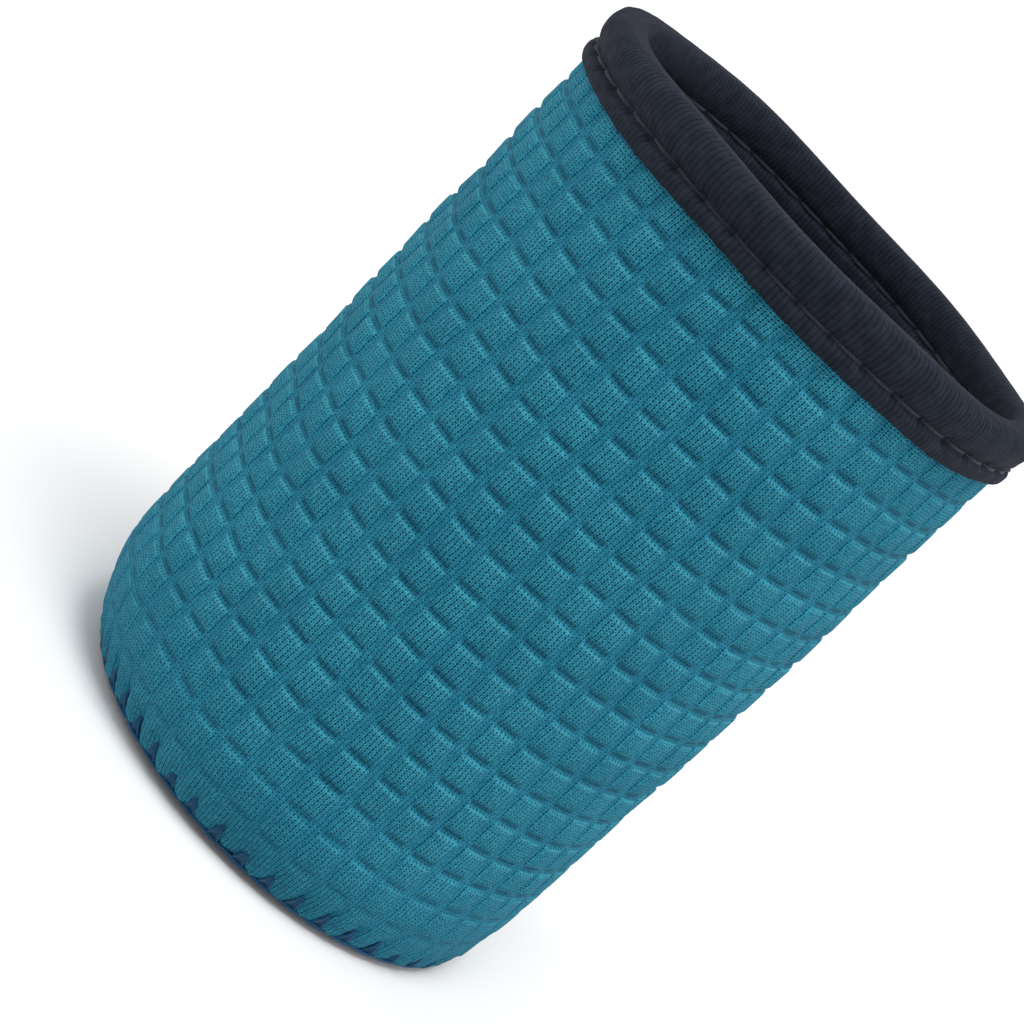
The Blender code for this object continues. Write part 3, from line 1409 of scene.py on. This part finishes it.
@dataclass
class BaseSeam:
    """The zigzag overlock that joins the wall to the base.

    Attributes:
        wall: the wall that it bites into.
        thread: the thread's radius.
        fan: threads in each fan.
        points: points along each outside thread.
        spread: half of a fan's width at its foot, in stitches.
        foot: how far past the wall's edge the fans go.
        off: how far the fans lie off the cloth.
        edge_top: how far above the joint the upper edge strand starts.
        edge_drop: distance from it to the lower one.
        edge_swing: how far an edge strand climbs or sinks along a stitch.
        edge_off: how far the edge strands lie off the cloth.
        inner_top: how far above the joint the inside zigzag reaches.
        inner_width: how wide that zigzag is.
        reach: about the radius of the seam, which sets which way its threads face.
    """

    wall: Wall
    thread: float = 0.00027
    fan: int = 7
    points: int = 8
    spread: float = 0.24
    foot: float = 0.0010
    off: float = 0.0003
    edge_top: float = 0.0004
    edge_drop: float = 0.0004
    edge_swing: float = 0.0003
    edge_off: float = 0.0002
    inner_top: float = 0.0050
    inner_width: float = 0.0042
    reach: float = 0.05

    def outside_paths(self) -> Array:
        """Threads that fan from each bite in the wall down to the base's rim.

        Returns:
            Threads by points.
        """
        wall = self.wall
        form = wall.form
        stitch = np.arange(wall.stitches)[:, None, None] * tau / wall.stitches + wall.first_stitch
        spread = np.linspace(-self.spread, self.spread, self.fan)[None, :, None]
        share = np.linspace(0, 1, self.points)[None, None, :]
        bearing = stitch + spread * tau / wall.stitches * share
        down = form.length - wall.bite + (wall.bite + self.foot) * share
        pull = wall.puckers(bearing, down) - wall.sunk
        arch = 0.0001 * np.sin(pi * share)
        lift = pull * (1 - smooth_step(share, 0.75, 1.0)) + self.off + arch
        lift = lift - 0.0006 * (share < 0.01)
        paths = form.point(bearing, down, -lift)
        return paths.reshape(-1, self.points, 3)

    def edge_paths(self) -> Array:
        """Two strands that run along the joint and lean towards each other at each stitch.

        Returns:
            Threads by points.
        """
        form = self.wall.form
        count = self.wall.stitches
        stitch = np.arange(count)[:, None, None]
        lane = np.array([0, 1])[None, :, None]
        share = np.linspace(-0.08, 1.08, self.points)[None, None, :]
        bearing = (stitch + share - 0.5) * tau / count + self.wall.first_stitch
        swing = np.where(lane == 0, share, 1 - share)
        down = form.length - self.edge_top + self.edge_drop * lane + self.edge_swing * swing
        lift = self.edge_off + self.edge_off * np.sin(pi * share) + 0 * down
        return form.point(bearing, down, -lift).reshape(-1, self.points, 3)

    def inside_paths(self) -> Array:
        """The bobbin thread's zigzag over the lining.

        Returns:
            Threads by points.
        """
        form = self.wall.form
        depth = self.wall.lining[1] + self.thread
        stitch = np.arange(self.wall.stitches * 2)[:, None]
        share = np.linspace(0, 1, 7)[None, :]
        bearing = (stitch + share) * pi / self.wall.stitches
        swing = np.where(stitch % 2 == 0, share, 1 - share)
        down = form.length - self.inner_top + self.inner_width * swing
        return form.point(bearing, down, depth + 0.0002 * np.sin(pi * share))

    def make(self, thread: bpy.types.Material) -> None:
        """Builds the seam's threads.

        Args:
            thread: the seam's thread.
        """
        outside = np.concatenate([self.outside_paths(), self.edge_paths()])
        rows = (("needle", outside, 1), ("bobbin", self.inside_paths(), -1))
        for row, paths, out in rows:
            away = paths * np.array([out, out, 0]) / self.reach + np.array([0, 0, -0.8 * out])
            pattern = strands(paths, away, self.thread, sides=5)
            piece = pattern.sew(f"base_seam_{row}_stitches", thread)
            hand_in(piece, Slot.BLUE_THREAD, f"base_seam_{row}_thread")


@dataclass
class BackSeam:
    """The zigzag that butts the wall's two upright edges together.

    Attributes:
        wall: the wall.
        pitch: length of one zig and one zag.
        width: how wide the zigzag is.
        thread: the thread's radius.
        start: how far down the cloth it starts.
        finish: how far above the base seam it stops.
    """

    wall: Wall
    pitch: float = 0.005
    width: float = 0.004
    thread: float = 0.00022
    start: float = 0.012
    finish: float = 0.014

    def paths(self, inside: bool) -> Array:
        """Threads that cross the seam from side to side.

        Args:
            inside: whether they lie on the lining.

        Returns:
            Threads by points.
        """
        wall = self.wall
        start, stop = self.start, wall.form.length - self.finish
        count = round((stop - start) / (self.pitch / 2))
        stitch = np.arange(count)[:, None]
        share = np.linspace(0, 1, 7)[None, :]
        down = start + (stitch + share) * (stop - start) / count
        swing = np.where(stitch % 2 == 0, share, 1 - share) - 0.5
        arch = np.sin(pi * share)
        if inside:
            bearing = pi / 2 + swing * self.width / wall.form.mouth_radius
            return wall.form.point(bearing, down, wall.lining[1] + self.thread + arch * 0.0002)
        column = swing * self.width / (tau * wall.form.mouth_radius) * wall.columns
        row = (down - wall.first_row) / wall.row_pitch
        return wall.surface(column, row, 0.0001 + arch * 0.0003)

    def make(self, thread: bpy.types.Material) -> None:
        """Builds the needle thread outside and the bobbin thread inside.

        Args:
            thread: the seam's thread.
        """
        for row, inside in (("needle", False), ("bobbin", True)):
            paths = self.paths(inside)
            away = np.zeros_like(paths) + np.array([0, -1 if inside else 1, 0])
            piece = strands(paths, away, self.thread).sew(f"back_seam_{row}_stitches", thread)
            hand_in(piece, Slot.BLUE_THREAD, f"back_seam_{row}_thread")


# ---------------------------------------------------------------- studio


def facing(direction: Vector) -> Matrix:
    """The turn of a light or a camera that looks against a direction."""
    return direction.to_track_quat("Z", "Y").to_matrix().to_4x4()


@dataclass
class Studio:
    """A plain pale floor, soft lights and the camera.

    Attributes:
        eye: where the camera is.
        aim: what it and the side lights face.
        lens: its focal length in millimetres.
        roll: how far it is turned about its own line of sight.
        floor_radius: radius of the floor.
        floor_drop: how far below the mitt it is, so that they don't share a plane.
        glow: strength of the room's even light.
        sun_power: strength of the sun.
        sun_angle: how wide the sun is, which softens its shadows.
        sun_from: the direction that it shines from.
        lamp_size: the side of a side light.
        lamp_power: its power in watts.
    """

    eye: Vector = field(default_factory=lambda: Vector((0.0, -0.5653, 0.2206)))
    aim: Vector = field(default_factory=lambda: Vector((-0.0036, 0.0, 0.0730)))
    lens: float = 106.6
    roll: float = pi / 4 + 0.0107
    floor_radius: float = 30.0
    floor_drop: float = 0.0002
    glow: float = 0.66
    sun_power: float = 1.9
    sun_angle: float = radians(30)
    sun_from: tuple[float, float, float] = (0.08, -0.35, 1.0)
    lamp_size: float = 0.7
    lamp_power: float = 2.4

    def floor(self) -> None:
        """A wide round floor."""
        bpy.ops.object.select_all(action="DESELECT")
        place = (0, 0, -self.floor_drop)
        reach = self.floor_radius
        bpy.ops.mesh.primitive_circle_add(vertices=96, radius=reach, fill_type="NGON", location=place)
        ground = bpy.context.object
        ground.name = "floor"
        ground.visible_diffuse = False
        graph = Graph("pale_floor", 0.85, 0.0, (1.0, 1.0, 1.0))
        dull, clean = (0.86, 0.86, 0.86), (0.90, 0.90, 0.90)
        graph.set("Base Color", graph.blend(graph.mottle(3.0), dull, clean))
        ground.data.materials.append(graph.material)

    def lamp(self, name: str, place: Vector) -> None:
        """A square soft light that faces the mitt.

        Args:
            name: its name.
            place: where it hangs.
        """
        data = bpy.data.lights.new(name, "AREA")
        data.shape = "SQUARE"
        data.size = self.lamp_size
        data.energy = self.lamp_power
        lamp = bpy.data.objects.new(name, data)
        lamp.matrix_world = Matrix.Translation(place) @ facing(place - self.aim)
        bpy.context.scene.collection.objects.link(lamp)

    def sun(self) -> None:
        """A broad, even light from high above the front."""
        data = bpy.data.lights.new("sun", "SUN")
        data.energy = self.sun_power
        data.angle = self.sun_angle
        lamp = bpy.data.objects.new("sun", data)
        lamp.matrix_world = facing(Vector(self.sun_from))
        bpy.context.scene.collection.objects.link(lamp)

    def camera(self) -> None:
        """A long lens a little above the mitt, turned so that the mitt leans across the picture."""
        data = bpy.data.cameras.new("camera")
        data.lens = self.lens
        data.clip_start = 0.01
        camera = bpy.data.objects.new("camera", data)
        spin = Matrix.Rotation(self.roll, 4, "Z")
        camera.matrix_world = Matrix.Translation(self.eye) @ facing(self.eye - self.aim) @ spin
        bpy.context.scene.collection.objects.link(camera)
        bpy.context.scene.camera = camera

    def make(self) -> None:
        """Sets the whole studio up."""
        world = bpy.data.worlds.new("pale_room")
        world.use_nodes = True
        air = world.node_tree.nodes["Background"].inputs
        air["Color"].default_value = (1.0, 1.0, 1.0, 1.0)
        air["Strength"].default_value = self.glow
        bpy.context.scene.world = world
        bpy.context.scene.view_settings.view_transform = "Standard"
        self.floor()
        self.sun()
        self.lamp("left", Vector((-0.9, -0.10, 0.35)))
        self.lamp("right", Vector((0.9, -0.10, 0.40)))
        self.camera()


def main() -> None:
    """Builds the studio, the wall, the base, the binding and the seams, and notes their size."""
    logging.basicConfig(level=logging.INFO, format="%(name)s: %(message)s")
    Studio().make()
    wall_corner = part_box("wall_face")[1]
    form = Form(top=wall_corner.z, mouth_radius=wall_corner.x)
    knit_face = EmbossedKnit().material()
    foam = OpenFoam().material()
    lining = PlainKnit("lining_knit", (0.52, 0.47, 0.48), (0.30, 0.25, 0.26), 0.2).material()
    knit_base = PlainKnit("base_knit", (0.020, 0.022, 0.030), (0.004, 0.004, 0.006), 0.25).material()
    tape = RibbedTape().material()
    black = SpunThread("black_thread", (0.062, 0.068, 0.090), (0.018, 0.021, 0.030)).material()
    blue = SpunThread("blue_thread", (0.016, 0.160, 0.330), (0.005, 0.055, 0.130)).material()
    wall = Wall(form)
    wall.make(knit_face, foam, lining)
    Base(form).make(knit_base, foam, lining)
    Binding(form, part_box("mouth_binding")[1].z).make(tape, black)
    BackSeam(wall).make(blue)
    BaseSeam(wall).make(blue)


if __name__ == "__main__":
    main()
